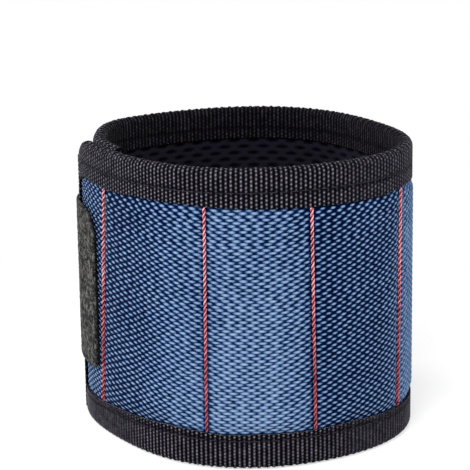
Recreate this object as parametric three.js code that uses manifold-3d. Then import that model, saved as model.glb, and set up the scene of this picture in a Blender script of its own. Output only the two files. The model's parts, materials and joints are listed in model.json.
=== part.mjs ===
// Magnetic wristband, in millimetres, +Z up, standing on its lower rim as it does off the wrist.
// A padded band of woven nylon is closed to a ring: its inner tail tucks inside its left tail, and a
// hook strap sewn to the inner tail grips a loop patch on the left tail. Five panels between stitch
// lines each hold a column of three magnet discs. The band bends at its stitch lines.
import * as THREE from "three";
import Module from "manifold-3d";

const wasm = await Module();
wasm.setup();

// Driving dimensions.
const bandWidth = 89; // rim to rim
const ringRadius = 50.8; // mean radius of the tape's outer face, worn closed
const seamGap = 0.6; // open line between two panels, so that they can turn
const layerGap = 0.1; // between one layer of a panel and the next
const maxStepDegrees = 6.5; // longest facet around the ring

// How the closed ring departs from a circle: waves around it, as shares of ringRadius.
const waveShares = [
  { waves: 2, cosine: -0.02, sine: -0.034 },
  { waves: 3, cosine: -0.012, sine: 0 },
  { waves: 4, cosine: 0.012, sine: -0.024 },
];

// Places around the ring in degrees, from the front (-Y) towards the right (+X).
const leftTailAngle = -96;
const stitchAngles = [-68, -15, 21, 60.5, 100, 140];
const innerTailAngle = 295;
const fullTurn = 360;

// Layers of the band, outside to inside.
const tapeThickness = 0.6;
const fabricThickness = 0.5;
const coreThickness = 1.4; // foam at the rims and in the tails
const liningThickness = 0.6;
const tapeHeight = 11.4; // each leg of the tape folded over a rim
const rimRound = 1.3; // roll of the tape over a rim
const endLegLength = 6.5; // tape folded over the end of a tail
const swellRise = 3.5; // width over which a panel swells beside the tape and the stitch lines
const panelCrown = 0.5; // extra crown of the outer fabric in the middle of a panel

// Magnets.
const magnetDiameter = 12;
const magnetThickness = 2;
const magnetRows = 3;
const rowPitch = 20;
const pocketClearance = 0.2;
const pocketCover = 0.4; // foam left over each face of a magnet

// Strap, its hook strip and the loop patch that it grips.
const strapMargin = 8.1; // from the strap's edge to the edge of the tape above or below it
const strapThickness = 0.9;
const strapCorner = 6;
const hookThickness = 0.4;
const loopThickness = 0.4;
const peelGap = 0.3; // between hook and loop, at rest
const hookInset = 1; // hook strip's edge inside the strap's edge
const loopInset = 1.5; // loop patch's edge inside the strap's edge
const foldReach = 5; // from the loop patch's start to where the strap's tip folds back
const tipLength = 9.8; // from there to the strap's end
const strapSewnAngle = 210; // where the sewn part begins
const strapRootAngle = 227; // where it ends and the free strap begins
const rideOutAngle = 257; // where the strap has come out onto the left tail

// Inner tail, tucked inside the left tail.
const nestGap = 0.5;
const tuckStartAngle = 230;
const tuckEndAngle = 262;

// Worked out from the sizes above: offsets of each face from the tape's outer face, outward positive.
const fabricOuter = -tapeThickness - layerGap;
const fabricInner = fabricOuter - fabricThickness;
const coreOuter = fabricInner - layerGap;
const coreInner = coreOuter - coreThickness;
const liningOuter = coreInner - layerGap;
const liningInner = liningOuter - liningThickness;
const innerLegOuter = liningInner - layerGap;
const bandInner = innerLegOuter - tapeThickness;
const tuckDepth = nestGap - bandInner;
const magnetRadius = magnetDiameter / 2;
const discSagitta = ringRadius - Math.sqrt(ringRadius ** 2 - magnetRadius ** 2);
const pocketDepth = magnetThickness + discSagitta + 2 * pocketCover;
const panelSwell = (pocketDepth - coreThickness) / 2;
const loopOuter = fabricOuter + layerGap + loopThickness;
const hookInner = loopOuter + peelGap;
const hookOuter = hookInner + hookThickness;
const strapInner = hookOuter + layerGap;
const sewnInner = fabricOuter + layerGap;
const midHeight = bandWidth / 2;
const strapWidth = bandWidth - 2 * (tapeHeight + strapMargin);
const layerEdge = tapeThickness + layerGap; // lowest point of the layers inside the tape

const degreesFor = (length) => THREE.MathUtils.radToDeg(length / ringRadius);
const seamHalf = degreesFor(seamGap) / 2;
const endSkin = degreesFor(tapeThickness + layerGap);
const legDegrees = degreesFor(endLegLength);
const riseDegrees = degreesFor(swellRise);
const patchStart = leftTailAngle + legDegrees + degreesFor(layerGap);
const foldAngle = fullTurn + patchStart + degreesFor(foldReach);
const strapEndAngle = foldAngle + degreesFor(tipLength);

const palette = {
  fabric: new THREE.MeshStandardMaterial({ color: 0x4f78b8, roughness: 0.75 }),
  tape: new THREE.MeshStandardMaterial({ color: 0x25232a, roughness: 0.85 }),
  lining: new THREE.MeshStandardMaterial({ color: 0x17171a, roughness: 0.95 }),
  foam: new THREE.MeshStandardMaterial({ color: 0x3a3a3c, roughness: 1 }),
  magnet: new THREE.MeshStandardMaterial({ color: 0xb9bbc0, roughness: 0.3, metalness: 1 }),
  strap: new THREE.MeshStandardMaterial({ color: 0x4c4c50, roughness: 0.95 }),
  hook: new THREE.MeshStandardMaterial({ color: 0x1d1d1f, roughness: 0.8 }),
  loop: new THREE.MeshStandardMaterial({ color: 0x2a2a2d, roughness: 1 }),
};

// Radius of the tape's outer face at a place around the ring: the mean radius and its waves.
function ringLine(degrees) {
  const turn = THREE.MathUtils.degToRad(degrees - 90);
  const share = waveShares.reduce(
    (sum, { waves, cosine, sine }) => sum + cosine * Math.cos(waves * turn) + sine * Math.sin(waves * turn),
    1,
  );
  return ringRadius * share;
}

// How far the inner tail lies inside the ring line.
const tuck = (degrees) => tuckDepth * THREE.MathUtils.smoothstep(degrees, tuckStartAngle, tuckEndAngle);
const noTuck = () => 0;

function ringPoint(degrees, offset, height) {
  const radius = ringLine(degrees) + offset;
  const turn = THREE.MathUtils.degToRad(degrees);
  return new THREE.Vector3(radius * Math.sin(turn), -radius * Math.cos(turn), height);
}

function anglesBetween(from, to) {
  const steps = Math.ceil((to - from) / maxStepDegrees);
  return Array.from({ length: steps + 1 }, (_, step) => from + ((to - from) * step) / steps);
}

function signedVolume(points, triangles) {
  let sum = 0;
  for (let index = 0; index < triangles.length; index += 3) {
    const [a, b, c] = triangles.slice(index, index + 3).map((corner) => points[corner]);
    sum += a.dot(b.clone().cross(c));
  }
  return sum;
}

// A closed body: an outline of [offset, height] points carried through the given angles, capped.
function sweep(angles, outlineAt, inset = noTuck) {
  const asFlat = (outline) => outline.map(([offset, height]) => new THREE.Vector2(offset, height));
  const outlines = angles.map((degrees) => {
    const outline = outlineAt(degrees);
    return THREE.ShapeUtils.isClockWise(asFlat(outline)) ? outline.reverse() : outline;
  });
  const count = outlines[0].length;
  const points = outlines.flatMap((outline, ring) =>
    outline.map(([offset, height]) => ringPoint(angles[ring], offset - inset(angles[ring]), height)),
  );
  const triangles = [];
  for (let ring = 0; ring < angles.length - 1; ring += 1) {
    for (let side = 0; side < count; side += 1) {
      const here = ring * count + side;
      const beside = ring * count + ((side + 1) % count);
      // Faces that run up and down split along the same diagonal, so that two layers nest.
      if (points[beside].z > points[here].z) {
        triangles.push(here, here + count, beside + count, here, beside + count, beside);
      } else {
        triangles.push(here, here + count, beside, beside, here + count, beside + count);
      }
    }
  }
  const lastRing = (angles.length - 1) * count;
  const cap = (outline) => THREE.ShapeUtils.triangulateShape(asFlat(outline), []);
  triangles.push(...cap(outlines[0]).flat());
  const lastCap = cap(outlines[angles.length - 1]);
  triangles.push(...lastCap.flatMap(([a, b, c]) => [lastRing + a, lastRing + c, lastRing + b]));
  if (signedVolume(points, triangles) < 0) triangles.reverse();
  return { points, triangles };
}

const solidOf = ({ points, triangles }) =>
  new wasm.Manifold(
    new wasm.Mesh({
      numProp: 3,
      vertProperties: new Float32Array(points.flatMap((point) => point.toArray())),
      triVerts: new Uint32Array(triangles),
    }),
  );

function geometryOf(solid) {
  const mesh = solid.getMesh();
  const geometry = new THREE.BufferGeometry();
  geometry.setAttribute("position", new THREE.BufferAttribute(new Float32Array(mesh.vertProperties), 3));
  geometry.setIndex(new THREE.BufferAttribute(new Uint32Array(mesh.triVerts), 1));
  geometry.computeVertexNormals();
  return geometry;
}

const wristband = new THREE.Group();

function addPiece(name, material, solid) {
  const piece = new THREE.Mesh(geometryOf(solid), material);
  piece.name = name;
  wristband.add(piece);
  return piece;
}

// Heights of a panel's outline, with the share of the swell that each has: none under the tape.
const swellHeights = [
  { height: layerEdge, swellShare: 0 },
  { height: tapeHeight + layerGap, swellShare: 0 },
  { height: tapeHeight + swellRise, swellShare: 1 },
  { height: midHeight, swellShare: 1 },
  { height: bandWidth - tapeHeight - swellRise, swellShare: 1 },
  { height: bandWidth - tapeHeight - layerGap, swellShare: 0 },
  { height: bandWidth - layerEdge, swellShare: 0 },
];
const flatHeights = [swellHeights[0], swellHeights[swellHeights.length - 1]];

// One layer of a segment. A panel with magnets swells both ways between the tapes and its two stitch
// lines, and its outer fabric is crowned too.
function layer(segment, outer, inner, outerSwell, innerSwell, crown) {
  const { from, to, middle, angles, magnets, inset } = segment;
  const heights = magnets ? swellHeights : flatHeights;
  const half = (to - from) / 2;
  return sweep(
    angles,
    (degrees) => {
      const seamShare = Math.min(1, (half - Math.abs(degrees - middle)) / riseDegrees);
      const crownShare = 1 - ((degrees - middle) / half) ** 4;
      const outerFace = heights.map(({ height, swellShare }) => [
        outer + swellShare * (outerSwell * seamShare + crown * crownShare),
        height,
      ]);
      const innerFace = heights.map(({ height, swellShare }) => [
        inner - swellShare * seamShare * innerSwell,
        height,
      ]);
      return [...outerFace, ...innerFace.reverse()];
    },
    inset,
  );
}

// Tape folded over a rim: a U with a rolled web. level is the rim's height, up points to the band.
function rimTape(segment, level, up) {
  const at = (offset, rise) => [offset, level + up * rise];
  const rollShares = [1 - Math.SQRT1_2, Math.SQRT1_2];
  const outline = [
    at(0, tapeHeight),
    at(0, rimRound),
    at(-rimRound * rollShares[0], rimRound * rollShares[0]),
    at(-rimRound, 0),
    at(bandInner + rimRound, 0),
    at(bandInner + rimRound * rollShares[0], rimRound * rollShares[0]),
    at(bandInner, rimRound),
    at(bandInner, tapeHeight),
    at(bandInner + tapeThickness, tapeHeight),
    at(bandInner + tapeThickness, tapeThickness),
    at(-tapeThickness, tapeThickness),
    at(-tapeThickness, tapeHeight),
  ];
  return sweep(segment.angles, () => outline, segment.inset);
}

const block = (outer, inner, low, high) => () => [
  [outer, low],
  [outer, high],
  [inner, high],
  [inner, low],
];

// Tape folded over the end of a tail: a skin over the whole end and two legs between the rim tapes.
function endTape(end, inwards, inset) {
  const range = (reach) => [end, end + inwards * reach].sort((a, b) => a - b);
  const low = tapeHeight + layerGap;
  const high = bandWidth - tapeHeight - layerGap;
  const skinRange = range(degreesFor(tapeThickness));
  const legRange = range(legDegrees);
  const skin = solidOf(sweep(skinRange, block(0, bandInner, 0, bandWidth), inset));
  const outerLeg = solidOf(sweep(legRange, block(0, -tapeThickness, low, high), inset));
  const innerLeg = solidOf(sweep(legRange, block(bandInner + tapeThickness, bandInner, low, high), inset));
  return skin.add(outerLeg).add(innerLeg);
}

// A disc whose axis is square to the band, for a magnet or for the cutter of its pocket.
function bandDisc(degrees, height, radius, outer, thickness) {
  const disc = new THREE.CylinderGeometry(radius, radius, thickness, 18);
  const centre = ringPoint(degrees, outer - thickness / 2, height);
  const along = ringPoint(degrees + 1, 0, height).sub(ringPoint(degrees - 1, 0, height));
  const outward = new THREE.Vector3(along.y, -along.x, 0).normalize();
  disc.applyQuaternion(new THREE.Quaternion().setFromUnitVectors(new THREE.Vector3(0, 1, 0), outward));
  disc.translate(centre.x, centre.y, centre.z);
  const position = disc.getAttribute("position");
  const merged = new Map();
  const points = [];
  const slots = Array.from({ length: position.count }, (_, index) => {
    const point = new THREE.Vector3().fromBufferAttribute(position, index);
    const key = point.toArray().map((value) => value.toFixed(4)).join();
    if (!merged.has(key)) merged.set(key, points.push(point) - 1);
    return merged.get(key);
  });
  return solidOf({ points, triangles: Array.from(disc.index.array, (corner) => slots[corner]) });
}

// The band's segments from the left tail's end to the inner tail's end, with the seam gaps taken off.
const segmentNames = ["left_tail", "panel_1", "panel_2", "panel_3", "panel_4", "panel_5", "inner_tail"];
const segmentEdges = [leftTailAngle, ...stitchAngles, innerTailAngle];
const segments = segmentNames.map((name, index) => {
  const first = index === 0;
  const last = index === segmentNames.length - 1;
  const magnets = !first && !last;
  const from = segmentEdges[index] + (first ? endSkin : seamHalf);
  const to = segmentEdges[index + 1] - (last ? endSkin : seamHalf);
  const flatTop = anglesBetween(from + riseDegrees, to - riseDegrees);
  return {
    name,
    magnets,
    from,
    to,
    middle: (from + to) / 2,
    angles: magnets ? [from, ...flatTop, to] : anglesBetween(from, to),
    inset: last ? tuck : noTuck,
  };
});

const rowHeights = Array.from(
  { length: magnetRows },
  (_, row) => midHeight + (row - (magnetRows - 1) / 2) * rowPitch,
);
const magnetOuter = (coreOuter + coreInner) / 2 + magnetThickness / 2 - discSagitta / 2;

for (const segment of segments) {
  const { name, middle } = segment;
  addPiece(
    `outer_fabric_${name}`,
    palette.fabric,
    solidOf(layer(segment, fabricOuter, fabricInner, panelSwell, -panelSwell, panelCrown)),
  );
  let core = solidOf(layer(segment, coreOuter, coreInner, panelSwell, panelSwell, 0));
  if (segment.magnets) {
    for (const height of rowHeights) {
      const cutterDepth = 2 * pocketDepth;
      const cutterOuter = (coreOuter + coreInner) / 2 + pocketDepth;
      const pocketRadius = magnetRadius + pocketClearance;
      core = core.subtract(bandDisc(middle, height, pocketRadius, cutterOuter, cutterDepth));
    }
  }
  addPiece(`foam_core_${name}`, palette.foam, core);
  addPiece(
    `mesh_lining_${name}`,
    palette.lining,
    solidOf(layer(segment, liningOuter, liningInner, -panelSwell, panelSwell, 0)),
  );
  addPiece(`top_tape_${name}`, palette.tape, solidOf(rimTape(segment, bandWidth, -1)));
  addPiece(`bottom_tape_${name}`, palette.tape, solidOf(rimTape(segment, 0, 1)));
  if (segment.magnets) {
    rowHeights.forEach((height, row) => {
      const magnet = bandDisc(middle, height, magnetRadius, magnetOuter, magnetThickness);
      addPiece(`magnet_${name.slice(-1)}_${row + 1}`, palette.magnet, magnet);
    });
  }
}

addPiece("end_tape_left_tail", palette.tape, endTape(leftTailAngle, 1, noTuck));
addPiece("end_tape_inner_tail", palette.tape, endTape(innerTailAngle, -1, tuck));

// Loop patch sewn on the left tail beside the end tape's leg, just smaller than the strap over it.
const patchEnd = strapEndAngle - fullTurn - degreesFor(loopInset);
const loopHalf = strapWidth / 2 - loopInset;
const loopOutline = block(loopOuter, fabricOuter + layerGap, midHeight - loopHalf, midHeight + loopHalf);
addPiece("loop_patch", palette.loop, solidOf(sweep(anglesBetween(patchStart, patchEnd), loopOutline)));

// Inner face of the strap: flat on the inner tail where it is sewn, then out onto the left tail.
const ride = (degrees) => {
  const share = THREE.MathUtils.smoothstep(degrees, strapRootAngle, rideOutAngle);
  return THREE.MathUtils.lerp(sewnInner, strapInner, share);
};

// A stretch of the strap or of its hook strip, with two rounded corners if it ends at the strap's end.
function strapPiece(from, to, inner, thickness, margin, corner) {
  const half = strapWidth / 2 - margin;
  const cornerDegrees = degreesFor(corner);
  const bend = corner ? 5 : 0;
  const straight = anglesBetween(from, to - cornerDegrees);
  const rounded = Array.from({ length: bend }, (_, step) => {
    const turn = (Math.PI / 2) * ((step + 1) / bend);
    return { degrees: to - cornerDegrees * (1 - Math.sin(turn)), drop: corner * (1 - Math.cos(turn)) };
  });
  const drops = new Map(rounded.map(({ degrees, drop }) => [degrees, drop]));
  return sweep([...straight, ...drops.keys()], (degrees) => {
    const reach = half - (drops.get(degrees) ?? 0);
    const face = inner(degrees);
    return block(face + thickness, face, midHeight - reach, midHeight + reach)();
  });
}

const hookFace = () => hookInner;
addPiece(
  "strap_sewn_end",
  palette.strap,
  solidOf(strapPiece(strapSewnAngle, strapRootAngle - seamHalf, () => sewnInner, strapThickness, 0, 0)),
);
addPiece(
  "strap",
  palette.strap,
  solidOf(strapPiece(strapRootAngle + seamHalf, foldAngle - seamHalf, ride, strapThickness, 0, 0)),
);
addPiece(
  "strap_tip",
  palette.strap,
  solidOf(strapPiece(foldAngle + seamHalf, strapEndAngle, ride, strapThickness, 0, strapCorner)),
);
addPiece(
  "hook_strip",
  palette.hook,
  solidOf(strapPiece(fullTurn + patchStart, foldAngle - seamHalf, hookFace, hookThickness, hookInset, 0)),
);
addPiece(
  "hook_strip_tip",
  palette.hook,
  solidOf(
    strapPiece(
      foldAngle + seamHalf,
      strapEndAngle - degreesFor(hookInset),
      hookFace,
      hookThickness,
      hookInset,
      strapCorner - hookInset,
    ),
  ),
);

// Origin: middle of the ring's box at the lower rim.
const box = new THREE.Box3().setFromObject(wristband);
wristband.position.set(-(box.min.x + box.max.x) / 2, -(box.min.y + box.max.y) / 2, -box.min.z);

export default wristband;
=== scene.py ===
import json
import math

import bpy
import numpy as np
from mathutils import Matrix, Vector

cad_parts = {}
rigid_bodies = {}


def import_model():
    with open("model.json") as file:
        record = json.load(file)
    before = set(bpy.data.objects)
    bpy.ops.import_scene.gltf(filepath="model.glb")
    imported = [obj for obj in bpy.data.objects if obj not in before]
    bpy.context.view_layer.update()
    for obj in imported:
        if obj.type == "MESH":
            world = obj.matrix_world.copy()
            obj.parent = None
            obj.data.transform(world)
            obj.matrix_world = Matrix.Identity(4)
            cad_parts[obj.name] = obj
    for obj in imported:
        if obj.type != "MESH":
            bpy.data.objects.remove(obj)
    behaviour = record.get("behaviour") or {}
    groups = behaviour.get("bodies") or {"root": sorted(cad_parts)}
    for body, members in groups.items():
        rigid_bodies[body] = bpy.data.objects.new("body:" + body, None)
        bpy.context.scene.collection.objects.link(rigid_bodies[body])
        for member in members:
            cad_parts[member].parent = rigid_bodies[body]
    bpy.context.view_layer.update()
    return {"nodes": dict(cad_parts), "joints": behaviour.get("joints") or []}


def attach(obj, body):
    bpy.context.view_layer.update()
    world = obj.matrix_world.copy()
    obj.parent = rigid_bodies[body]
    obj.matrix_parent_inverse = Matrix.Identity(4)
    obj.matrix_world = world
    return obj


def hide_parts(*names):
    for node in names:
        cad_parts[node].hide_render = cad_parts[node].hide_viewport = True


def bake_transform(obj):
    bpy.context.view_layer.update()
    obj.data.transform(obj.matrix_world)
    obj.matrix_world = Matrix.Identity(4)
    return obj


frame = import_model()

# The camera: a long lens a good half metre away, a little above the rim and turned very slightly,
# as the band was photographed. It looks at a point left of the middle, in the upper half.
camera_elevation = math.radians(13.77)
camera_roll = math.radians(-0.82)
camera_distance = 0.588
camera_target = Vector((-0.00255, 0.0003, 0.05741))
camera_forward = Vector((0, math.cos(camera_elevation), -math.sin(camera_elevation)))
camera_side = Vector((1, 0, 0))
camera_up = camera_side.cross(camera_forward)
turned_side = math.cos(camera_roll) * camera_side + math.sin(camera_roll) * camera_up
turned_up = -math.sin(camera_roll) * camera_side + math.cos(camera_roll) * camera_up
camera_data = bpy.data.cameras.new("camera")
camera_data.sensor_width = 36
camera_data.lens = 145.54
camera = bpy.data.objects.new("camera", camera_data)
bpy.context.scene.collection.objects.link(camera)
camera.matrix_world = Matrix.Translation(camera_target - camera_distance * camera_forward) @ Matrix(
    (turned_side, turned_up, -camera_forward)
).transposed().to_4x4()
bpy.context.scene.camera = camera

# The closed ring. The band runs from its left tail round the front, the right and the back to its
# inner tail, which tucks inside the left tail. Places round it are degrees from the front to the right.
ring_radius = 0.0508
band_width = 0.089
wave_shares = ((2, -0.02, -0.034), (3, -0.012, 0.0), (4, 0.012, -0.024))
left_tail_end = -96.0
stitch_lines = (-68.0, -15.0, 21.0, 60.5, 100.0, 140.0)
inner_tail_end = 295.0
tuck_depth, tuck_from, tuck_to = 0.0046, 230.0, 262.0
corner_depth, corner_width = 0.0048, 16.0
segment_names = ("left_tail", "panel_1", "panel_2", "panel_3", "panel_4", "panel_5", "inner_tail")


def smooth_step(value, low, high):
    """Zero below low, one above high, and 3t^2 - 2t^3 of the share t between them."""
    t = np.clip((value - low) / (high - low), 0, 1)
    return t * t * (3 - 2 * t)


def ring_line(degrees):
    """Radius of the tape's outer face: the mean radius times one plus three waves of the angle."""
    turn = np.radians(degrees - 90)
    share = 1 + sum(c * np.cos(n * turn) + s * np.sin(n * turn) for n, c, s in wave_shares)
    return ring_radius * share


def polar(degrees, radius, height):
    """Points at a radius and a height, at degrees from the front (-Y) towards the right (+X)."""
    turn = np.radians(degrees)
    return np.stack(np.broadcast_arrays(radius * np.sin(turn), -radius * np.cos(turn), height), -1)


front_hinge = next(j for j in frame["joints"] if (j["parent"], j["child"]) == ("panel_2", "panel_3"))
ring_centre = np.array([*front_hinge["pos_m"][:2], 0.0])
ring_centre -= polar(stitch_lines[2], ring_line(stitch_lines[2]), 0.0)


def tuck(degrees):
    """How far the inner tail lies inside the ring line: a smooth step down to the tuck's depth."""
    return tuck_depth * smooth_step(degrees, tuck_from, tuck_to)


def no_tuck(degrees):
    """Zero everywhere, for what follows the ring line itself."""
    return np.zeros_like(degrees)


def corner_sag(degrees, height):
    """How far the left tail's upper corner sags: a smooth step towards its end, to the power 1.5, times
    a smooth step from mid-height up to the rim."""
    share = 1 - smooth_step(degrees, left_tail_end, left_tail_end + corner_width)
    return corner_depth * share**1.5 * smooth_step(height, 0.5 * band_width, band_width)


def band_point(degrees, offset, height, inset=no_tuck):
    """A point of the band: offset out from the ring line, less the inset, at a height less the sag."""
    sunk = height - corner_sag(degrees, height)
    return ring_centre + polar(degrees, ring_line(degrees) + offset - inset(degrees), sunk)


arc_table = np.linspace(left_tail_end, inner_tail_end + 5, 4001)
arc_lengths = np.concatenate(
    ([0], np.cumsum(np.linalg.norm(np.diff(band_point(arc_table, 0.0, 0.0), axis=0), axis=1)))
)


def arc_at(degrees):
    """Length along the ring line from the left tail's end."""
    return np.interp(degrees, arc_table, arc_lengths)


def columns_between(start, stop, pitch):
    """Angles from start to stop, evenly spaced along the ring line, about a pitch apart."""
    first, last = arc_at(start), arc_at(stop)
    count = max(2, int(round((last - first) / pitch)))
    inner = np.interp(np.linspace(first, last, count + 1)[1:-1], arc_lengths, arc_table)
    return np.concatenate(([start], inner, [stop]))


# Each layer is cut in the middle of its panels, where nothing bends, so that a piece crosses one
# stitch line, where two bodies meet.
middles = [(a + b) / 2 for a, b in zip(stitch_lines[:-1], stitch_lines[1:])]
last_cut = 162.0
piece_ends = [left_tail_end, *middles, last_cut, inner_tail_end]
bend_half = 0.0045


def blend_between(piece, first, last):
    """Bakes a piece's transform into its mesh; the two places on the ring line are turned into points that nothing
    uses.
    """
    start, end = (tuple(band_point(np.float64(place), 0.0, 0.0)) for place in (first, last))
    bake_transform(piece)


def follow_band(piece, index):
    """Hands a piece to blend_between at the stitch line it crosses, which only bakes it; the last one lies wholly on
    the inner tail and is attached to it.
    """
    if index == len(stitch_lines):
        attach(piece, "inner_tail")
        return
    place, half = stitch_lines[index], math.degrees(bend_half / ring_radius)
    blend_between(piece, place - half, place + half)


def inset_of(index):
    """The tuck applies to the pieces past the last stitch line."""
    return tuck if index >= len(stitch_lines) - 1 else no_tuck


# Foam and magnets: each panel holds a sheet of black foam with a pocket for each of its three discs,
# which are sintered magnets, nickel plated, a little hazy from handling.
class Nodes:
    """A material under construction, with short calls for the nodes that it is made of."""

    def __init__(self, name, roughness=0.8, specular=0.1):
        self.material = bpy.data.materials.new(name)
        self.material.use_nodes = True
        self.tree = self.material.node_tree
        self.surface = self.tree.nodes["Principled BSDF"]
        self.surface.inputs["Roughness"].default_value = roughness
        self.surface.inputs["Specular IOR Level"].default_value = specular

    def add(self, kind, inputs=(), **settings):
        """Adds a node, sets its settings, and links or sets its inputs by name or number."""
        node = self.tree.nodes.new(kind)
        for key, value in settings.items():
            setattr(node, key, value)
        for key, value in dict(inputs).items():
            if isinstance(value, bpy.types.NodeSocket):
                self.tree.links.new(value, node.inputs[key])
            else:
                node.inputs[key].default_value = value
        return node

    def math(self, operation, a, b):
        """One arithmetic step on two sockets or numbers."""
        return self.add("ShaderNodeMath", {0: a, 1: b}, operation=operation).outputs[0]

    def value(self, name):
        """A value kept at the points of the mesh."""
        return self.add("ShaderNodeAttribute", attribute_name=name).outputs["Fac"]

    def noise(self, scale, detail=2.0, stretch=(1, 1, 1), place="Object"):
        """Cloudy noise, stretched along an axis if asked. The scale is per metre, or on UV per band width."""
        spot = self.add("ShaderNodeTexCoord").outputs[place]
        scaled = self.add("ShaderNodeMapping", {"Vector": spot, "Scale": stretch}).outputs[0]
        return self.add("ShaderNodeTexNoise", {"Vector": scaled, "Scale": scale, "Detail": detail}).outputs["Fac"]

    def vary(self, value, noise, amount):
        """A value with a share of noise about its middle added."""
        return self.math("ADD", value, self.math("MULTIPLY", self.math("SUBTRACT", noise, 0.5), amount))

    def colour(self, value, stops):
        """Colours the surface by a value from 0 to 1; each stop is a place and a linear colour."""
        node = self.add("ShaderNodeValToRGB", {"Fac": value})
        elements = node.color_ramp.elements
        while len(elements) < len(stops):
            elements.new(0.5)
        for element, (place, tint) in zip(elements, stops):
            element.position = place
            element.color = (*tint, 1)
        self.link(node.outputs["Color"], "Base Color")

    def bump(self, height, distance, strength=1.0):
        """Fine relief on the surface's normal."""
        node = self.add("ShaderNodeBump", {"Height": height, "Distance": distance, "Strength": strength})
        self.link(node.outputs["Normal"], "Normal")

    def link(self, socket, name):
        """Links a socket to a named input of the surface."""
        self.tree.links.new(socket, self.surface.inputs[name])


foam = Nodes("foam", roughness=1.0, specular=0.05)
cells = foam.noise(2500, 2)
foam.colour(cells, [(0.35, (0.01, 0.01, 0.011)), (0.65, (0.05, 0.05, 0.052))])
foam.bump(cells, 0.0003, 0.7)
nickel = Nodes("nickel plate", roughness=0.28, specular=0.5)
nickel.surface.inputs["Metallic"].default_value = 1.0
haze = nickel.noise(400, 3)
nickel.colour(haze, [(0.3, (0.52, 0.51, 0.49)), (0.7, (0.68, 0.67, 0.65))])
for name, node in frame["nodes"].items():
    for start, look in (("foam_core", foam), ("magnet_", nickel)):
        if name.startswith(start):
            node.data.materials.clear()
            node.data.materials.append(look.material)


# Outer fabric: a heavy weave of navy and sky-blue nylon. Thick weft yarns float over the warp in short
# ovals, each row shifted by half a float, with light and shade painted onto them by the place round the ring.
# The cloth is drawn in at the rim tapes and at the stitch lines, and swells over the foam between them.
tape_height = 0.0114
lower_tape_height = 0.0103
tape_places = (-96, -75, -65, -56, -42, -30, -20, -8, 4, 14, 28, 38, 48, 60, 80)
tape_wander = {
    True: (-0.5, -0.5, 0.05, 0.2, -0.5, -0.6, -0.7, -0.2, 0.0, 0.3, 0.5, 0.55, 0.6, -0.1, 0.0),
    False: (-1.15, -1.1, -0.55, -0.05, 0.3, 0.9, 0.7, 0.05, 0.4, 0.1, 0.3, 0.6, 0.0, -0.2, 0.0),
}
fabric_face, fabric_back, fabric_edge = -0.0007, -0.0012, 0.0030
panel_swell, swell_rise = 0.00062, 0.0035
panel_crown, crown_reach = 0.00032, 0.017
pucker_depth, pucker_reach = 0.00009, 0.002
row_pitch, float_pitch = 0.00088, 0.0034
row_waver, waver_length, waver_rise = 0.00012, 0.0031, 0.009
weave_depth, weave_cell, rows_per_pitch = 0.00026, 0.00036, 4
stitch_shifts = (1.6, 1.1, 0.2, -0.8, 0.0, 0.0)
stitch_leans = (3.8, 0.28, -0.66, 0.94, 0.0, 0.0)
loose_from, loose_to, loose_share = -68.0, -44.0, 0.25
row_slips = np.random.default_rng(11).normal(0, 0.05, 128)


def add_mesh(name, points, faces, tone, uv=None):
    """A mesh object from points, faces (lists or arrays of corners) and a tone kept at its points."""
    mesh = bpy.data.meshes.new(name)
    sizes = np.concatenate([np.full(len(f), f.shape[1]) if isinstance(f, np.ndarray) else [len(f)] for f in faces])
    corners = np.concatenate([np.ravel(f) for f in faces]).astype(np.int32)
    mesh.vertices.add(len(points))
    mesh.vertices.foreach_set("co", np.ravel(points).astype(np.float32))
    mesh.loops.add(len(corners))
    mesh.loops.foreach_set("vertex_index", corners)
    mesh.polygons.add(len(sizes))
    mesh.polygons.foreach_set("loop_start", (np.cumsum(sizes) - sizes).astype(np.int32))
    mesh.polygons.foreach_set("use_smooth", np.ones(len(sizes), bool))
    mesh.update(calc_edges=True)
    mesh.attributes.new("tone", "FLOAT", "POINT").data.foreach_set("value", np.ravel(tone).astype(np.float32))
    if uv is not None:
        layer = mesh.uv_layers.new(name="UVMap")
        layer.data.foreach_set("uv", np.ravel(uv.reshape(-1, 2)[corners]).astype(np.float32))
    mesh.validate()
    piece = bpy.data.objects.new(name, mesh)
    bpy.context.scene.collection.objects.link(piece)
    return piece


def uv_of(along, across):
    """UV in band widths, from lengths along a piece and across it."""
    return np.stack(np.broadcast_arrays(along, across), -1) / band_width


def keep_edges_sharp(piece, border):
    """Marks the edges between two border points, so that a wall doesn't shade the face beside it."""
    mesh = piece.data
    pairs = np.empty(len(mesh.edges) * 2, np.int32)
    mesh.edges.foreach_get("vertices", pairs)
    on_border = np.zeros(len(mesh.vertices), bool)
    on_border[border] = True
    sharp = on_border[pairs].reshape(-1, 2).all(1)
    mesh.attributes.new("sharp_edge", "BOOLEAN", "EDGE").data.foreach_set("value", sharp)


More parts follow.
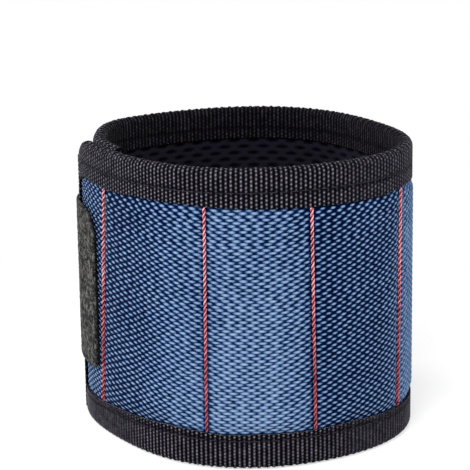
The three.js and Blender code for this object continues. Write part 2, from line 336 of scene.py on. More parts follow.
def sheet_mesh(name, face, back, tone, uv, outward=True):
    """A closed sheet: a fine face grid of columns by rows, a back of one cell a column, and four walls."""
    columns, rows = face.shape[:2]
    fine = np.arange(columns * rows).reshape(columns, rows)
    plain = columns * rows + np.arange(columns * 2).reshape(columns, 2)
    quads = [
        np.stack([fine[:-1, :-1], fine[1:, :-1], fine[1:, 1:], fine[:-1, 1:]], -1).reshape(-1, 4),
        np.stack([plain[:-1, 0], plain[:-1, 1], plain[1:, 1], plain[1:, 0]], -1),
        np.stack([fine[1:, 0], fine[:-1, 0], plain[:-1, 0], plain[1:, 0]], -1),
        np.stack([fine[:-1, -1], fine[1:, -1], plain[1:, 1], plain[:-1, 1]], -1),
    ]
    ends = [[*fine[0], plain[0, 1], plain[0, 0]], [*fine[-1][::-1], plain[-1, 0], plain[-1, 1]]]
    if not outward:
        quads = [q[:, ::-1] for q in quads]
        ends = [e[::-1] for e in ends]
    points = np.concatenate([face.reshape(-1, 3), back.reshape(-1, 3)])
    flat_uv = np.concatenate([uv.reshape(-1, 2), uv[:, [0, -1]].reshape(-1, 2)])
    tones = np.concatenate([np.ravel(tone), np.zeros(columns * 2)])
    piece = add_mesh(name, points, quads + ends, tones, flat_uv)
    border = np.concatenate([fine[0], fine[-1], fine[:, 0], fine[:, -1], plain.ravel()])
    keep_edges_sharp(piece, border)
    return piece


def stitch_angle(index, height):
    """Where a stitch line stands at a height: its place as sewn, plus its lean times the share above
    mid-height."""
    return stitch_lines[index] + stitch_shifts[index] + stitch_leans[index] * (2 * height / band_width - 1)


def tape_edge(degrees, top):
    """Height of the tape's outer leg: it was sewn on by eye, and wanders by up to a millimetre."""
    level = tape_height if top else lower_tape_height
    return level + 0.001 * np.interp(degrees, tape_places, tape_wander[top])


def seam_distance(degrees, height):
    """Distance along the ring from the nearest stitch line."""
    arc = arc_at(degrees)
    return np.min([np.abs(arc - arc_at(stitch_angle(i, height))) for i in range(len(stitch_lines))], axis=0)


def clear_of_tapes(degrees, height):
    """Distance from the edge of the nearer tape's outer leg, below zero under the tape."""
    return np.minimum(height - tape_edge(degrees, False), band_width - height - tape_edge(degrees, True))


def swell_at(degrees, height):
    """Zero to one: rises from the tapes and from the stitch lines, and only on panels with magnets."""
    on_panel = (degrees > stitch_angle(0, height)) & (degrees < stitch_angle(5, height))
    from_seam = smooth_step(seam_distance(degrees, height), -0.0008, swell_rise) * on_panel
    from_tape = smooth_step(height - tape_edge(degrees, False), 0.0, swell_rise)
    from_top = smooth_step(band_width - height - tape_edge(degrees, True), 0.0, swell_rise)
    return from_seam * from_tape * from_top


def fabric_offset(degrees, height):
    """Offset of the fabric's face: its flat level, the swell of the foam, a round crown that grows with
    the distance from the nearest stitch line, and small puckers at the stitches, which fade off quickly."""
    far = seam_distance(degrees, height)
    crown = 1 - (1 - np.clip(far / crown_reach, 0, 1)) ** 2
    pucker = pucker_depth * np.exp(-far / pucker_reach) * np.cos(2 * np.pi * height / float_pitch)
    return fabric_face + swell_at(degrees, height) * (panel_swell + panel_crown * crown) + pucker


def weave(degrees, height, painted_light):
    """Relief and tone of the weave, 0 to 1. Across a row the yarn is half round. Along it, its height
    follows a raised cosine of the float's length, leaning outwards from the front and shifted by half in
    each second row. The rows waver a little, and the floats are longer where the cloth is loose. Where
    the weft dives, a lower warp yarn shows. The tone is the float's crest, partly the weft's own colour
    and partly a painted highlight: wide where the painted light is strong and narrow where it is weak,
    with the gaps along a row filled in where it is strongest. The lower half of each row is a little
    darker, a painted shade."""
    waver = np.sin(arc_at(degrees) / waver_length + 3 * np.sin(height / waver_rise))
    row = (height + row_waver * waver) / row_pitch
    index = np.floor(row).astype(int)
    across = 2 * (row - index) - 1
    lean = np.clip((degrees - 3) / 14, -1, 1)
    loose = arc_at(np.clip(degrees, loose_from, loose_to)) * loose_share
    shift = 0.5 * (index % 2) - 0.1 * lean * across
    along = (arc_at(degrees) - loose) / float_pitch + shift + row_slips[index % len(row_slips)]
    over = 0.5 + 0.5 * np.cos(2 * np.pi * along)
    section = np.sqrt(np.clip(1 - across**2, 0, 1))
    warp = 0.34 * (1 - over) * np.sqrt(np.clip(1 - 0.5 * across**2, 0, 1))
    relief = np.maximum(over**0.65 * section, warp)
    # Painted highlight: the crest narrows where the painted light is weak and fills the gaps where it is strong.
    crest = over ** (0.6 + 1.5 * (1 - painted_light)) * section ** (0.8 + 1.3 * (1 - painted_light))
    crest = crest + 0.42 * np.clip(painted_light - 0.45, 0, 1) * (1 - crest) * section
    # Painted shade: the lower half of each row is a little darker.
    return relief, crest * (0.9 + 0.1 * across)


def fabric_tone(degrees, height, tone):
    """The tone with painted shade, darker beside the tapes' edges and in the grooves at the stitch lines, and with a
    painted sheen at the right, where it is evened towards a middle tone.
    """
    clear = smooth_step(clear_of_tapes(degrees, height), -0.0002, 0.0009)
    # Painted shade beside the tapes' edges and in the stitch grooves.
    tone = tone * (0.25 + 0.75 * clear) * (0.35 + 0.65 * smooth_step(seam_distance(degrees, height), 0.0003, 0.0016))
    # Painted sheen: evened towards a middle tone at the right.
    return tone + (0.52 - tone) * 0.4 * smooth_step(degrees, 48, 66) * (1 - smooth_step(degrees, 110, 150)) * clear


def fabric_painted_light(degrees, height):
    """Painted light on the floats, by the place round the ring: straight lines between set places, strong at
    the front, weak on the panels either side of it, strong again further round to the right, and a little
    stronger lower down."""
    places = (-96, -70, -63, -45, -28, -8, 8, 18, 26, 44, 54, 66, 100, 230, 295)
    shares = (0.60, 0.55, 0.28, 0.36, 0.74, 0.95, 0.92, 0.78, 0.44, 0.38, 0.52, 0.95, 0.95, 0.8, 0.6)
    return np.interp(degrees, places, shares) + 0.3 * (0.4 - height / band_width)


fabric = Nodes("woven nylon", roughness=0.6, specular=0.005)
yarn = fabric.value("tone")
fibre = fabric.noise(900, 3, (0.16, 1, 1), "UV")
mottled = fabric.noise(60, 2)
uneven = fabric.noise(420, 1)
level = fabric.vary(fabric.vary(fabric.vary(yarn, fibre, 0.42), mottled, 0.16), uneven, 0.3)
blues = (0.0, 0.002, 0.014), (0.006, 0.026, 0.087), (0.098, 0.160, 0.275), (0.245, 0.315, 0.430)
fabric.colour(level, list(zip((0.12, 0.32, 0.60, 1.0), blues)))
fabric.surface.inputs["Sheen Weight"].default_value = 0.012
fabric.bump(fibre, 0.00010, 0.5)

fabric_ends = np.array([fabric_edge, band_width - fabric_edge])
cloth_margin = 0.0014
tail_margin = math.degrees(cloth_margin / ring_radius)
cloth_ends = [left_tail_end + tail_margin, *piece_ends[1:-1], inner_tail_end - tail_margin]
fabric_height = band_width - 2 * fabric_edge
fabric_heights = np.linspace(*fabric_ends, int(round(fabric_height / row_pitch * rows_per_pitch)) + 1)
for index, name in enumerate(segment_names):
    columns = columns_between(cloth_ends[index], cloth_ends[index + 1], weave_cell)
    degrees, height = np.meshgrid(columns, fabric_heights, indexing="ij")
    relief, tone = weave(degrees, height, fabric_painted_light(degrees, height))
    tone = fabric_tone(degrees, height, tone)
    face = band_point(degrees, fabric_offset(degrees, height) + weave_depth * (relief - 1), height, inset_of(index))
    back = band_point(*np.broadcast_arrays(columns[:, None], fabric_back, fabric_ends), inset_of(index))
    piece = sheet_mesh(f"woven_fabric_{name}", face, back, tone, uv_of(arc_at(degrees), height))
    piece.data.materials.append(fabric.material)
    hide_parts(f"outer_fabric_{name}")
    follow_band(piece, index)


# Foam of the left tail: a plain black sheet. It has no pockets, since no magnet sits here, and sags at
# the corner with the cloth.
foam_face, foam_back, foam_edge, foam_cell = -0.0013, -0.0027, 0.0011, 0.0012
foam_columns = columns_between(cloth_ends[0], stitch_lines[0], foam_cell)
foam_heights = np.linspace(foam_edge, band_width - foam_edge, 40)
degrees, height = np.meshgrid(foam_columns, foam_heights, indexing="ij")
face = band_point(degrees, foam_face, height)
back = band_point(*np.broadcast_arrays(foam_columns[:, None], foam_back, foam_heights[[0, -1]]))
piece = sheet_mesh("foam_sheet_left_tail", face, back, 0 * height, uv_of(arc_at(degrees), height))
piece.data.materials.append(foam.material)
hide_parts("foam_core_left_tail")
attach(piece, "left_tail")


# Lining: black air mesh against the wrist, a knitted spacer cloth whose face sinks into long staggered
# eyelets. It is sewn to the outer fabric along the stitch lines and caught in the rim tapes.
lining_face, lining_back, lining_cell = -0.0034, -0.0028, 0.0007
eyelet_pitch, eyelet_row = 0.0068, 0.0021
eyelet_half, eyelet_depth = (0.0021, 0.00062), 0.00042


def eyelets(arc, height):
    """Relief of the air mesh, 0 to 1: smooth oval pits at the points of a staggered grid."""
    row = height / eyelet_row
    index = np.round(row)
    along = arc / eyelet_pitch + 0.5 * (index % 2)
    far_along = (along - np.round(along)) * eyelet_pitch / eyelet_half[0]
    far_up = (row - index) * eyelet_row / eyelet_half[1]
    return smooth_step(np.sqrt(far_along**2 + far_up**2), 0.45, 1.25)


lining = Nodes("air mesh", roughness=0.9, specular=0.03)
knit = lining.noise(1800, 3)
# The tone is the eyelet relief, so the eyelet pits are painted darker: painted shade in the pits.
lining.colour(
    lining.vary(lining.value("tone"), knit, 0.5),
    [(0.0, (0.0006, 0.0005, 0.0012)), (0.75, (0.0038, 0.0034, 0.0068)), (1.0, (0.008, 0.0072, 0.012))],
)
lining.bump(knit, 0.0003, 0.6)

lining_heights = np.linspace(*fabric_ends, 196)
for index, name in enumerate(segment_names):
    columns = columns_between(cloth_ends[index], cloth_ends[index + 1], lining_cell)
    degrees, height = np.meshgrid(columns, lining_heights, indexing="ij")
    relief = eyelets(arc_at(degrees), height)
    swell = swell_at(degrees, height) * panel_swell
    face = band_point(degrees, lining_face - swell - eyelet_depth * (relief - 1), height, inset_of(index))
    back = band_point(*np.broadcast_arrays(columns[:, None], lining_back, fabric_ends), inset_of(index))
    piece = sheet_mesh(f"air_mesh_{name}", face, back, relief, uv_of(arc_at(degrees), height), outward=False)
    piece.data.materials.append(lining.material)
    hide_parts(f"mesh_lining_{name}")
    follow_band(piece, index)


# Stitch lines: a heavy two-ply polyester thread, red to pink and a darker red low on the band, sewn through
# all the layers between the panels. It lies in the groove it pulls, and dips a little at every stitch.
ply_radius, ply_reach, ply_turn, ply_steps = 0.00028, 0.00022, 0.0034, 16
thread_level, thread_dip, thread_dive = 0.00036, 0.00016, 0.0011
sewn_height, under_tape = 0.069, 0.001
around = np.linspace(0, 2 * np.pi, 8, endpoint=False)


def tube_mesh(name, tubes, tone):
    """Closed round tubes with flat ends, from points by tube, by ring along it and by place round the ring."""
    grid = np.arange(tubes[..., 0].size).reshape(tubes.shape[:3])
    beside = np.roll(grid, -1, axis=2)
    sides = np.stack([grid[:, :-1], beside[:, :-1], beside[:, 1:], grid[:, 1:]], -1).reshape(-1, 4)
    ends = np.concatenate([grid[:, 0, ::-1], grid[:, -1]])
    return add_mesh(name, tubes.reshape(-1, 3), [sides, ends], tone)


def rope(name, centres, outward, sideways, length, lightness):
    """Two plies round a line of centres: each ply's axis circles the line at a reach, once a turn, and a
    ring of points stands round it. The tone is the point's distance from the line as a share of the most
    it can be, to the power 1.6, times the lightness given along it: painted shade in the lay between the
    plies and a painted highlight on their crowns."""
    spin = 2 * np.pi * length[None, :, None] / ply_turn + np.array([0, np.pi])[:, None, None]
    out = ply_reach * np.sin(spin) + ply_radius * np.sin(around)
    side = ply_reach * np.cos(spin) + ply_radius * np.cos(around)
    centres, outward, sideways = (rows[None, :, None] for rows in (centres, outward, sideways))
    tubes = centres + out[..., None] * outward + side[..., None] * sideways
    tone = (np.hypot(out, side) / (ply_reach + ply_radius)) ** 1.6 * lightness[None, :, None]
    return tube_mesh(name, tubes, tone)


def band_frame(degrees, inset=no_tuck):
    """Directions along the ring, out of it and up, at each angle."""
    ahead = band_point(degrees + 0.2, 0.0, 0.0, inset) - band_point(degrees - 0.2, 0.0, 0.0, inset)
    ahead /= np.linalg.norm(ahead, axis=-1, keepdims=True)
    up = np.broadcast_to([0.0, 0.0, 1.0], ahead.shape)
    return ahead, np.cross(ahead, up), up


def thread_material(name, stops):
    """Twisted thread: the tone gives a painted highlight on its crowns and painted shade in the lay between its plies;
    fuzzy, and with soil in places.
    """
    thread = Nodes(name, roughness=0.7, specular=0.04)
    fuzz = thread.noise(2600, 3)
    shaded_and_soiled = thread.vary(thread.value("tone"), thread.noise(480, 2), 0.75)
    thread.colour(thread.vary(shaded_and_soiled, fuzz, 0.5), stops)
    thread.bump(fuzz, 0.00012, 0.6)
    return thread.material


red_thread = thread_material(
    "red thread",
    [(0.2, (0.04, 0.004, 0.008)), (0.5, (0.26, 0.043, 0.056)), (0.78, (0.49, 0.15, 0.175)), (1.0, (0.66, 0.32, 0.35))],
)
for index, place in enumerate(stitch_lines):
    low_end = tape_edge(place, False) - under_tape
    high_end = band_width - tape_edge(place, True) + under_tape
    height = np.linspace(low_end, high_end, int(sewn_height / ply_turn * ply_steps))
    angle = stitch_angle(index, height)
    ahead, outward, _ = band_frame(angle)
    dip = thread_dip * np.cos(2 * np.pi * height / ply_turn) ** 6
    dip += thread_dive * (1 - smooth_step(clear_of_tapes(angle, height), -0.0002, 0.0007))
    line = band_point(angle, fabric_face + thread_level - dip, height)
    pale = 0.66 + 0.34 * smooth_step(height, 0.025, 0.06)
    piece = rope(f"stitch_line_{index + 1}", line, outward, -ahead, height, pale)
    piece.data.materials.append(red_thread)
    follow_band(piece, index)


# Rim tape: black grosgrain folded over both rims. Round cords run across it, each beaded by the fine
# yarns that bind them, with dark gaps between, and the tape rolls over the rim in a soft round.
tape_thickness, roll_radius, inner_short = 0.0006, 0.00205, 0.0009
rib_pitch, rib_depth = 0.00143, 0.00022
tape_cell, bead_steps, back_step = 0.00026, 4, 6
bead_pitches = {True: 0.00122, False: 0.0010}
sewing_heights = {True: 0.0069, False: 0.0087}
groove_half, groove_depth = 0.0006, 0.00012
scallop_pitch, scallop_depth = 0.0024, 0.00013


def tape_profile(inward, step, top):
    """Outline of the folded tape, up one leg, over the roll and down the other, which is a little
    shorter: offsets, rises above the rim, directions the face looks, and lengths along it. inward moves
    it towards the layers."""
    radius = roll_radius - inward
    straight = (tape_height if top else lower_tape_height) - roll_radius
    roll = np.pi * roll_radius
    along = np.arange(0, 2 * straight - inner_short + roll + step / 2, step)
    turn = np.clip((along - straight) / roll_radius, 0, np.pi)
    drop = np.clip(straight - along, 0, None) + np.clip(along - straight - roll, 0, None)
    offset = -roll_radius + radius * np.cos(turn)
    rise = roll_radius + drop - radius * np.sin(turn)
    return offset, rise, np.cos(turn), -np.sin(turn), along


def grosgrain(across_cords, along_cords, bead_pitch, plain, evened_share=0.0):
    """Relief and tone of the tape, 0 to 1: round cords side by side with gaps between, each a row of
    beads along its length, shifted by half on each second cord. The tone is partly the cords' own
    pattern and partly painted light: a painted highlight on each cord's crown and beads, and painted
    shade in the gaps. plain, 0 to 1, evens the beads out, and the last argument evens the cords out
    too, in relief and tone, towards a middle."""
    cord = across_cords / rib_pitch
    index = np.floor(cord)
    across = 2 * (cord - index) - 1
    body = np.sqrt(np.clip(1 - (across / 0.78) ** 2, 0, 1))
    bead = 0.5 + 0.5 * np.cos(2 * np.pi * (along_cords / bead_pitch + 0.5 * (index % 2)))
    bead = bead + (0.62 - bead) * plain
    relief = body * (0.6 + 0.4 * bead)
    tone = np.clip(1 - (across / 0.66) ** 2, 0, 1) * (0.28 + 0.68 * bead)
    return relief + (0.75 - relief) * evened_share, tone + (0.41 - tone) * evened_share


tape = Nodes("grosgrain tape", roughness=0.8, specular=0.03)
lint = tape.noise(3200, 2)
patchy = tape.noise(620, 2)
blacks = (0.0005, 0.0003, 0.0008), (0.007, 0.006, 0.009), (0.050, 0.047, 0.060), (0.235, 0.225, 0.255)
# The tone carries a painted highlight on the cords and beads, and painted shade in their gaps, in the sewing groove
# and on the leg inside the ring, with noise to mottle it.
mottled = tape.vary(tape.vary(tape.value("tone"), lint, 0.34), patchy, 0.45)
tape.colour(mottled, list(zip((0.08, 0.32, 0.62, 1.0), blacks)))
tape.surface.inputs["Sheen Weight"].default_value = 0.16
tape.surface.inputs["Sheen Roughness"].default_value = 0.2
tape.bump(lint, 0.0001, 0.4)


def loop_mesh(name, rings, tone, uv):
    """A closed body: one loop of points per column, joined in order, with a flat face at each end."""
    columns, count = rings.shape[:2]
    grid = np.arange(columns * count).reshape(columns, count)
    beside = np.roll(grid, -1, axis=1)
    quads = np.stack([grid[:-1], grid[1:], beside[1:], beside[:-1]], -1).reshape(-1, 4)
    ends = [list(grid[0]), list(grid[-1][::-1])]
    piece = add_mesh(name, rings.reshape(-1, 3), [quads, *ends], tone, uv)
    keep_edges_sharp(piece, np.concatenate([grid[0], grid[-1]]))
    return piece


def rim_tape(name, index, top):
    """The folded tape of one piece: the beaded outer outline and a plain inner one, carried along. The
    sewing pulls a groove into it, painted darker as painted shade, and the roll swells a little between
    the stitches. The outer leg's beads and cords are evened out at the left and at the right of the front.
    On the leg inside the ring the beads are evened out and the tone darkened, as painted shade."""
    columns = columns_between(piece_ends[index], piece_ends[index + 1], tape_cell)
    step = bead_pitches[top] / bead_steps
    offset, rise, look_out, look_up, along = tape_profile(0.0, step, top)
    back_offset, back_rise = tape_profile(tape_thickness, step, top)[:2]
    coarse = slice(None, None, back_step)
    arc = arc_at(columns)[:, None]
    below_sewing = smooth_step(sewing_heights[top] - rise, -0.0002, 0.0004)[None, :]
    inside = smooth_step(-look_out, -0.3, 0.7)[None, :]
    left = smooth_step(-columns, 34, 60)[:, None]
    right = (smooth_step(columns, 20, 42) * (1 - smooth_step(columns, 100, 130)))[:, None]
    if top:
        evened_share = (left * (0.2 + 0.4 * smooth_step(look_up, 0.0, 0.6)) + 0.3 * right) * (1 - inside)
    else:
        evened_share = (0.8 * left + 0.6 * right) * (1 - inside)
    # Painted shade inside the ring: the beads of the inner leg are evened out here, and its tone is darkened below.
    plain = np.clip(below_sewing * (0.15 if top else 0.4) + 0.5 * inside, 0, 0.9)
    relief, tone = grosgrain(arc, along[None, :], bead_pitches[top], plain, evened_share)
    tone = tone * (1 - 0.40 * inside)
    groove = np.exp(-(((rise - sewing_heights[top]) / groove_half) ** 2))[None, :]
    scallop = scallop_depth * np.cos(2 * np.pi * arc / scallop_pitch) * np.abs(look_up)[None, :]
    push = rib_depth * (relief - 1) - groove_depth * groove + scallop
    # Painted shade in the sewing groove.
    tone = tone * (1 - 0.4 * groove)
    face_offset = offset + push * look_out
    face_rise = rise + push * look_up
    inner_offset = np.broadcast_to(back_offset[coarse][::-1], (len(columns), len(back_offset[coarse])))
    inner_rise = np.broadcast_to(back_rise[coarse][::-1], inner_offset.shape)
    all_offset = np.concatenate([face_offset, inner_offset], 1)
    all_rise = np.concatenate([face_rise, inner_rise], 1)
    wander = tape_edge(columns, top)[:, None] - rise[0]
    all_rise = all_rise + wander * np.clip((all_rise - roll_radius) / (rise[0] - roll_radius), 0, 1)
    all_tone = np.concatenate([tone, np.zeros(inner_offset.shape)], 1)
    lengths = np.concatenate([along, along[coarse][::-1]])
    height = band_width - all_rise if top else all_rise
    rings = band_point(columns[:, None], all_offset, height, inset_of(index))
    uv = uv_of(arc, lengths)
    if not top:
        rings, all_tone, uv = rings[:, ::-1], all_tone[:, ::-1], uv[:, ::-1]
    return loop_mesh(name, rings, all_tone, uv)


for index, segment in enumerate(segment_names):
    for side, top in (("top", True), ("bottom", False)):
        piece = rim_tape(f"{side}_rim_tape_{segment}", index, top)
        piece.data.materials.append(tape.material)
        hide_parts(f"{side}_tape_{segment}")
        follow_band(piece, index)


# Tape sewing: one row of dark thread along each rim, through the tape and everything it folds over. The
# stitches sink a little into the tape's cords.
tape_stitch, tape_thread, tape_stitch_level = 0.0026, 0.00016, -0.00028
stitch_step = 1.15


def stitches(name, starts, forward, outward, sideways, length, radius):
    """Separate stitches, one per start: a round tube along forward whose axis rises out of the cloth as a
    flat arch, one less the sixth power of the place along it, and narrows at both ends."""
    t = np.linspace(0, 1, 10)[None, :, None]
    size = radius * np.sqrt(np.clip(1 - (2 * t - 1) ** 8, 0.02, 1))
    lift = radius * (1.4 * (1 - (2 * t - 1) ** 6) - 0.9) + size * np.sin(around)
    across = size * np.cos(around)
    ahead = t * length + 0 * around
    parts = (ahead, forward), (lift, outward), (across, sideways)
    tubes = starts[:, None, None, :] + sum(v[..., None] * d[:, None, None, :] for v, d in parts)
    # The tone is lighter on the side facing out of the cloth and darker towards it: a painted highlight and painted
    # shade.
    return tube_mesh(name, tubes, np.broadcast_to(0.5 + 0.5 * np.sin(around), tubes.shape[:3]))


dark_thread = thread_material(
    "dark thread", [(0.2, (0.001, 0.0009, 0.0012)), (0.7, (0.006, 0.0055, 0.007)), (1.0, (0.024, 0.023, 0.027))]
)
for index, segment in enumerate(segment_names):
    first, last = arc_at(np.array(piece_ends[index : index + 2]))
    count = int((last - first) / (tape_stitch * stitch_step))
    arcs = first + (np.arange(count) + 0.5) * (last - first) / count - tape_stitch / 2
    angle = np.interp(arcs, arc_lengths, arc_table)
    ahead, outward, up = (np.tile(d, (2, 1)) for d in band_frame(angle, inset_of(index)))
    heights = (sewing_heights[False], band_width - sewing_heights[True])
    starts = np.concatenate([band_point(angle, tape_stitch_level, height, inset_of(index)) for height in heights])
    piece = stitches(f"tape_sewing_{segment}", starts, ahead, outward, up, tape_stitch, tape_thread)
    piece.data.materials.append(dark_thread)
    follow_band(piece, index)


# End tape: the same grosgrain folded over the end of each tail, from rim to rim, with its cords lying
# along the band and one row of dark stitches near its edge.
band_inner = -0.0041
end_leg, end_row, end_edge, end_push = 0.0043, 0.0031, 0.0022, 0.00025
end_sewing = (0.0105, 0.0135)


def end_tape(name, end, inwards, inset):
    """Outline in the ring's plane, carried up the band: out along the outer face, on a half circle round
    the end, and back along the inner face."""
    half = -band_inner / 2
    turn_length = np.pi * half
    straight = end_leg - half
    step = bead_pitches[True] / bead_steps
    along = np.arange(0, 2 * straight + turn_length + step / 2, step)
    turn = np.clip((along - straight) / half, 0, np.pi)
    drop = np.clip(straight - along, 0, None) + np.clip(along - straight - turn_length, 0, None)
    heights = np.arange(end_edge, band_width - end_edge + 1e-9, tape_cell)
    relief, tone = grosgrain(heights[:, None], along[None, :], bead_pitches[True], 0.0)
    push = rib_depth * (relief - 1) + end_push
    out_offset = -half + (half + push) * np.cos(turn)
    reach = half + drop - (half + push) * np.sin(turn)
    in_turn, in_drop, in_half = turn[::-back_step], drop[::-back_step], half - tape_thickness
    in_offset = np.broadcast_to(-half + in_half * np.cos(in_turn), (len(heights), len(in_turn)))
    in_reach = np.broadcast_to(half + in_drop - in_half * np.sin(in_turn), in_offset.shape)
    offset = np.concatenate([out_offset, in_offset], 1)
    distance = np.concatenate([reach, in_reach], 1)
    degrees = end + inwards * np.degrees(distance / ring_radius)
    rings = band_point(degrees, offset, heights[:, None], inset)
    tone = np.concatenate([tone, np.zeros(in_offset.shape)], 1)
    uv = uv_of(heights[:, None], np.concatenate([along, along[::-back_step]]))
    if inwards < 0:
        rings, tone, uv = rings[:, ::-1], tone[:, ::-1], uv[:, ::-1]
    piece = loop_mesh(name, rings, tone, uv)
    return piece


for body, end, inwards, inset in (("left_tail", left_tail_end, 1, no_tuck), ("inner_tail", inner_tail_end, -1, tuck)):
    piece = end_tape(f"{body}_end_tape", end, inwards, inset)
    piece.data.materials.append(tape.material)
    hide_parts(f"end_tape_{body}")
    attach(piece, body)
    rises = np.arange(end_sewing[0], band_width - end_sewing[1], tape_stitch * stitch_step)
    angle = np.full(len(rises), end + inwards * math.degrees(end_row / ring_radius))
    ahead, outward, up = band_frame(angle, inset)
    starts = band_point(angle, 0.0, rises, inset)
    piece = stitches(f"end_sewing_{body}", starts, up, outward, -ahead, tape_stitch, tape_thread)
    piece.data.materials.append(dark_thread)
    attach(piece, body)


# Strap: grey brushed loop cloth over webbing, sewn to the inner tail, brought out over the left tail and
# hemmed all round its free end. Black hook strip lies inside the hem, on the side towards the band.
strap_width, strap_thickness, strap_cell = 0.050, 0.00045, 0.00042
strap_from, strap_root, strap_middle, strap_fold, strap_end = 210.0, 227.0, 250.0, 277.083, 289.3
strap_corners = (0.0095, 0.003)
sewn_level, strap_level = -0.0006, 0.0006
hem_width, hem_drop, hem_from, ride_out = 0.0011, 0.00075, 244.0, 257.0
strap_bend, bend_lead = 0.0065, 0.3
nap_cells = (0.00055, 0.0011)
nap_table = np.random.default_rng(5).random((64, 64))


def strap_offset(degrees):
    """Inner face of the strap: flat on the inner tail, then a smooth step out onto the left tail."""
    return sewn_level + (strap_level - sewn_level) * smooth_step(degrees, strap_root, ride_out)


def hem_offset(degrees):
    """How far the hem hangs below the strap: nothing on the sewn end, all of it on the free length."""
    return hem_drop * smooth_step(degrees, hem_from, ride_out)


def nap(across, along, cell):
    """Tangled pile, 0 to 1: a seeded table of random heights, read with smooth steps between cells."""
    u, v = across / cell, along / cell
    i, j = np.floor(u).astype(int), np.floor(v).astype(int)
    s, t = smooth_step(u - i, 0, 1), smooth_step(v - j, 0, 1)
    low = nap_table[i % 64, j % 64] * (1 - s) + nap_table[(i + 1) % 64, j % 64] * s
    high = nap_table[i % 64, (j + 1) % 64] * (1 - s) + nap_table[(i + 1) % 64, (j + 1) % 64] * s
    return low * (1 - t) + high * t


def strap_columns(start, stop, corner, cell):
    """Angles along a strip: even ones, then ones that fall evenly on its last corner's quarter circle."""
    turn_from = np.interp(arc_at(stop) - corner, arc_lengths, arc_table)
    quarter = np.linspace(0, np.pi / 2, 26)[1:]
    round_part = np.interp(arc_at(stop) - corner * (1 - np.sin(quarter)), arc_lengths, arc_table)
    return np.concatenate([columns_between(start, turn_from, cell), round_part])


def strip(name, columns, stop, level, thickness, width, corners, hem, rows, pile_height, round_over):
    """A strip with two rounded corners, as a face and a base over one outline. At a column, the outline
    is half the width less the drop of each corner's quarter circle. With the distance from the outline
    at hand, both sides curl on a circle to meet at it, and the base steps down by the hem beside it."""
    level, hem = np.reshape(level, (-1, 1)), np.reshape(hem, (-1, 1))
    to_end = arc_at(stop) - arc_at(columns)
    drops = [c - np.sqrt(np.clip(c**2 - np.clip(c - to_end, 0, None) ** 2, 0, None)) for c in corners]
    up, down = ((width / 2 - drop)[:, None] for drop in drops)
    across = -down + np.linspace(0, 1, rows) * (up + down)
    corner = np.where(across > 0, *corners)
    side = width / 2 - np.abs(across)
    past_end, past_side = np.clip(corner - to_end[:, None], 0, None), np.clip(corner - side, 0, None)
    straight = np.minimum(to_end[:, None], side)
    far = np.where((past_end > 0) & (past_side > 0), corner - np.hypot(past_end, past_side), straight)
    far = np.clip(far, 0, None)
    curl = 1 - np.sqrt(np.clip(1 - (1 - np.clip(far / round_over, 0, 1)) ** 2, 0, 1))
    base = level - hem * (1 - smooth_step(far, hem_width * 0.8, hem_width * 1.2))
    face = level + thickness + 0 * across
    middle = (face + base) / 2
    height = band_width / 2 + across
    arc = arc_at(columns)[:, None]
    pile = nap(arc, height, nap_cells[0]) * 0.72 + nap(arc, height, nap_cells[1]) * 0.28
    calm = smooth_step(np.abs(arc - arc_at(strap_middle)), 0.0, 0.0009)
    face = face + (middle - face) * curl * 0.96 + (pile - 0.5) * pile_height * calm
    base = base + (middle - base) * curl * 0.96
    round_height = np.concatenate([height, height[:, ::-1]], 1)
    rings = band_point(columns[:, None], np.concatenate([face, base[:, ::-1]], 1), round_height)
    tones = np.concatenate([pile, 0.3 + 0 * pile], 1)
    return loop_mesh(name, rings, tones, uv_of(arc, round_height))


def follow_strap(piece, place):
    """Hands a piece to blend_between at one of the strap's hinges, from just before it to where the bend ends, which
    only bakes it.
    """
    blend_between(piece, place - bend_lead, place + math.degrees(strap_bend / ring_radius))


def pile_material(name, scale, stops):
    """Brushed or looped pile: a tangle of fine noise on top of the pile's own height."""
    cloth = Nodes(name, roughness=1.0, specular=0.01)
    tangle = cloth.noise(scale, 4)
    fluff = cloth.math("ADD", cloth.math("MULTIPLY", cloth.value("tone"), 0.5), cloth.math("MULTIPLY", tangle, 0.5))
    cloth.colour(fluff, stops)
    cloth.surface.inputs["Sheen Weight"].default_value = 0.02
    cloth.bump(tangle, 0.0006, 0.8)
    return cloth.material


brushed_cloth = pile_material(
    "brushed loop cloth",
    2100,
    [(0.37, (0.004, 0.004, 0.004)), (0.5, (0.027, 0.0266, 0.026)), (0.63, (0.098, 0.096, 0.093))],
)
sewn_columns = columns_between(strap_from, strap_middle, strap_cell)
tip_columns = strap_columns(strap_middle, strap_end, strap_corners[0], strap_cell)
for name, nodes, columns, bodies, place in (
    ("strap_length", ("strap_sewn_end", "strap"), sewn_columns, ("inner_tail", "strap"), strap_root),
    ("strap_tip_length", ("strap_tip",), tip_columns, ("strap", "strap_tip"), strap_fold),
):
    piece = strip(
        name, columns, strap_end, strap_offset(columns), strap_thickness, strap_width, strap_corners,
        hem_offset(columns), rows=120, pile_height=0.00032, round_over=0.0007,
    )
    piece.data.materials.append(brushed_cloth)
    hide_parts(*nodes)
    follow_strap(piece, place)

hooks = pile_material("hook strip", 2400, [(0.35, (0.002, 0.002, 0.002)), (0.7, (0.03, 0.03, 0.032))])
hook_from, hook_end, hook_width, hook_corners = 271.5, 288.1, strap_width - 0.002, (0.0085, 0.002)
piece = strip(
    "hook_strip_length", strap_columns(hook_from, hook_end, hook_corners[0], 0.0009), hook_end, 0.0001, 0.0004,
    hook_width, hook_corners, 0.0, rows=60, pile_height=0.0, round_over=0.0002,
)
piece.data.materials.append(hooks)
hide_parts("hook_strip", "hook_strip_tip")
follow_strap(piece, strap_fold)


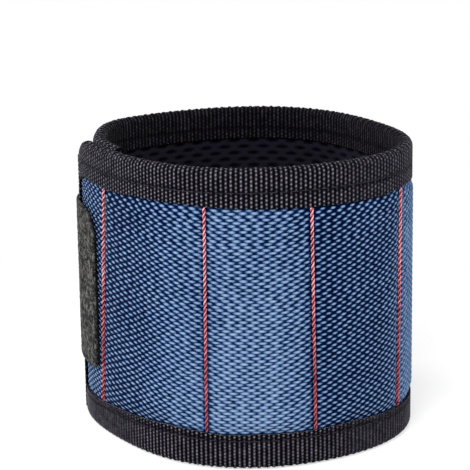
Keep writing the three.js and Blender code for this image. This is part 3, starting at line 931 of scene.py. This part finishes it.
# Loop patch: black loop cloth sewn flat onto the left tail, a little narrower than the strap, where the
# strap's hooks take hold.
patch_from, patch_end, patch_width, patch_corners = -88.5, -73.6, strap_width - 0.003, (0.008, 0.002)
piece = strip(
    "loop_patch_cloth", strap_columns(patch_from, patch_end, patch_corners[0], 0.0006), patch_end, -0.0006, 0.0004,
    patch_width, patch_corners, 0.0, rows=80, pile_height=0.00008, round_over=0.0002,
)
black_loop = pile_material("black loop", 1600, [(0.3, (0.003, 0.003, 0.003)), (0.7, (0.04, 0.04, 0.042))])
piece.data.materials.append(black_loop)
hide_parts("loop_patch")
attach(piece, "left_tail")


# Strap sewing: a box of dark stitches through the strap's sewn end and the inner tail under it, which
# takes the pull when the band is drawn tight.
box_stitch, box_thread, box_edge = 0.0024, 0.00024, 0.0025
box_from, box_to = 212.0, 225.0
box_low, box_high = (band_width - strap_width) / 2 + box_edge, (band_width + strap_width) / 2 - box_edge
rises = np.arange(box_low, box_high, box_stitch * stitch_step)
turns = np.interp(np.arange(arc_at(box_from), arc_at(box_to), box_stitch * stitch_step), arc_lengths, arc_table)
box_angle = np.concatenate([np.full(len(rises), box_from), np.full(len(rises), box_to), turns, turns])
box_height = np.concatenate([rises, rises, np.full(len(turns), box_low), np.full(len(turns), box_high)])
ahead, outward, up = band_frame(box_angle)
upright = (np.arange(len(box_angle)) < 2 * len(rises))[:, None]
starts = band_point(box_angle, sewn_level + strap_thickness - 0.00005, box_height)
forward, sideways = np.where(upright, up, ahead), np.where(upright, -ahead, up)
piece = stitches("strap_sewing", starts, forward, outward, sideways, box_stitch, box_thread)
piece.data.materials.append(dark_thread)
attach(piece, "inner_tail")


# Floor, backdrop and light: a pale table under soft lamps, and a white surround. The table fades into
# the white further out, and keeps the band's shadow.
def area_lamp(name, place, aim, size, watts):
    """A square lamp that looks from its place at a point."""
    data = bpy.data.lights.new(name, "AREA")
    data.size = size
    data.energy = watts
    lamp = bpy.data.objects.new(name, data)
    bpy.context.scene.collection.objects.link(lamp)
    lamp.location = place
    lamp.rotation_euler = (Vector(aim) - Vector(place)).to_track_quat("-Z", "Y").to_euler()


band_middle = (0.0, 0.0, band_width / 2)
area_lamp("key lamp", (-0.2, -0.75, 0.75), band_middle, 0.45, 13)
area_lamp("left lamp", (-0.95, 0.3, 0.45), band_middle, 0.5, 9)
area_lamp("right lamp", (0.95, 0.1, 0.4), band_middle, 0.5, 6)


def seen_rays(tree):
    """One for rays from the camera, and for the glossy and transmitted ones that show the background."""
    rays = tree.nodes.new("ShaderNodeLightPath").outputs
    seen = rays["Is Camera Ray"]
    for other in ("Is Glossy Ray", "Is Transmission Ray"):
        either = tree.nodes.new("ShaderNodeMath")
        either.operation = "MAXIMUM"
        tree.links.new(seen, either.inputs[0])
        tree.links.new(rays[other], either.inputs[1])
        seen = either.outputs[0]
    return seen


floor_mesh = bpy.data.meshes.new("floor")
far_out = 3.0
corners = [(-far_out, -far_out, 0), (far_out, -far_out, 0), (far_out, far_out, 0), (-far_out, far_out, 0)]
floor_mesh.from_pydata(corners, [], [(0, 1, 2, 3)])
floor = bpy.data.objects.new("floor", floor_mesh)
bpy.context.scene.collection.objects.link(floor)
floor.location.z = -0.0002
table_top = Nodes("pale table", roughness=0.9, specular=0.05)
table_top.surface.inputs["Base Color"].default_value = (0.9, 0.9, 0.9, 1)
spot = table_top.add("ShaderNodeTexCoord").outputs["Object"]
away = table_top.add("ShaderNodeVectorMath", {0: spot}, operation="LENGTH").outputs["Value"]
ranges = {0: away, 1: 0.05, 2: 0.22, 3: 0.62, 4: 1.0}
fade = table_top.add("ShaderNodeMapRange", ranges, interpolation_type="SMOOTHSTEP").outputs[0]
share = table_top.math("MULTIPLY", fade, seen_rays(table_top.tree))
white = table_top.add("ShaderNodeEmission", {"Strength": 1.0}).outputs[0]
blend = table_top.add("ShaderNodeMixShader", {0: share, 1: table_top.surface.outputs[0], 2: white}).outputs[0]
table_top.tree.links.new(blend, table_top.tree.nodes["Material Output"].inputs["Surface"])
floor_mesh.materials.append(table_top.material)

world = bpy.data.worlds.new("studio")
bpy.context.scene.world = world
world.use_nodes = True
sky = world.node_tree
ambient = sky.nodes["Background"]
ambient.inputs["Color"].default_value = (1, 1, 1, 1)
ambient.inputs["Strength"].default_value = 0.45
surround = sky.nodes.new("ShaderNodeBackground")
surround.inputs["Color"].default_value = (1, 1, 1, 1)
surround.inputs["Strength"].default_value = 1.0
choice = sky.nodes.new("ShaderNodeMixShader")
sky.links.new(seen_rays(sky), choice.inputs[0])
sky.links.new(ambient.outputs[0], choice.inputs[1])
sky.links.new(surround.outputs[0], choice.inputs[2])
sky.links.new(choice.outputs[0], sky.nodes["World Output"].inputs["Surface"])
bpy.context.scene.view_settings.view_transform = "Standard"
